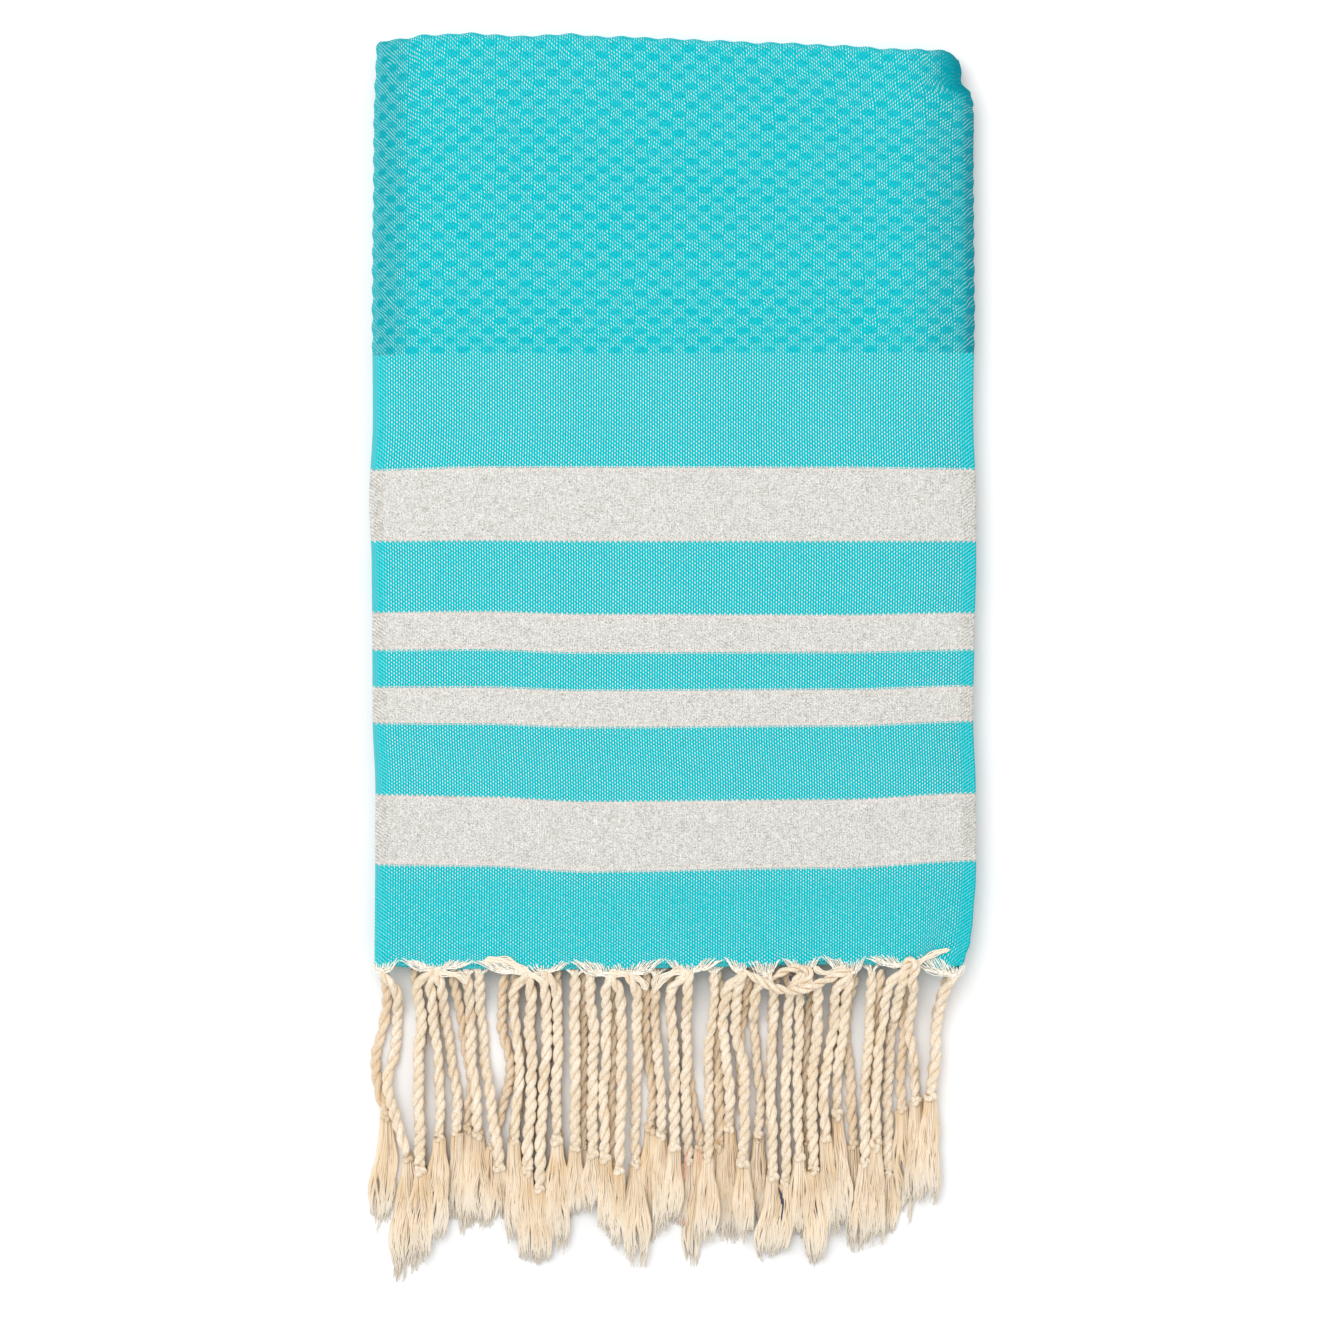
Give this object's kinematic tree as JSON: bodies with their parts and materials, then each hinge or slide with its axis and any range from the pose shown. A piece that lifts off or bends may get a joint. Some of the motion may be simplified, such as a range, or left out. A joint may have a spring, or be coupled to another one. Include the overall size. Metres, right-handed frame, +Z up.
{
  "type": "hammam towel",
  "caption": "Flat-woven hammam towel, folded and lying face up, with its knotted cord fringes laid out beyond the front edge.",
  "frame": {"origin": "centre of the bounding box in plan, at the surface the towel rests on", "axes": "+Y towards the rounded top fold, -Y towards the fringe, +X to the right seen from above, +Z up"},
  "size_m": [0.3329, 0.6822, 0.0181],
  "materials": {
    "turquoise_weave": "flat-woven cotton, honeycomb field and metallic bands",
    "cream_cotton": "twisted cotton cord, unbleached",
    "cream_cotton_back": "twisted cotton cord, unbleached"
  },
  "bodies": {
    "root": {"towel": "turquoise_weave", "fringe_front": "cream_cotton", "fringe_back": "cream_cotton_back"}
  },
  "joints": []
}
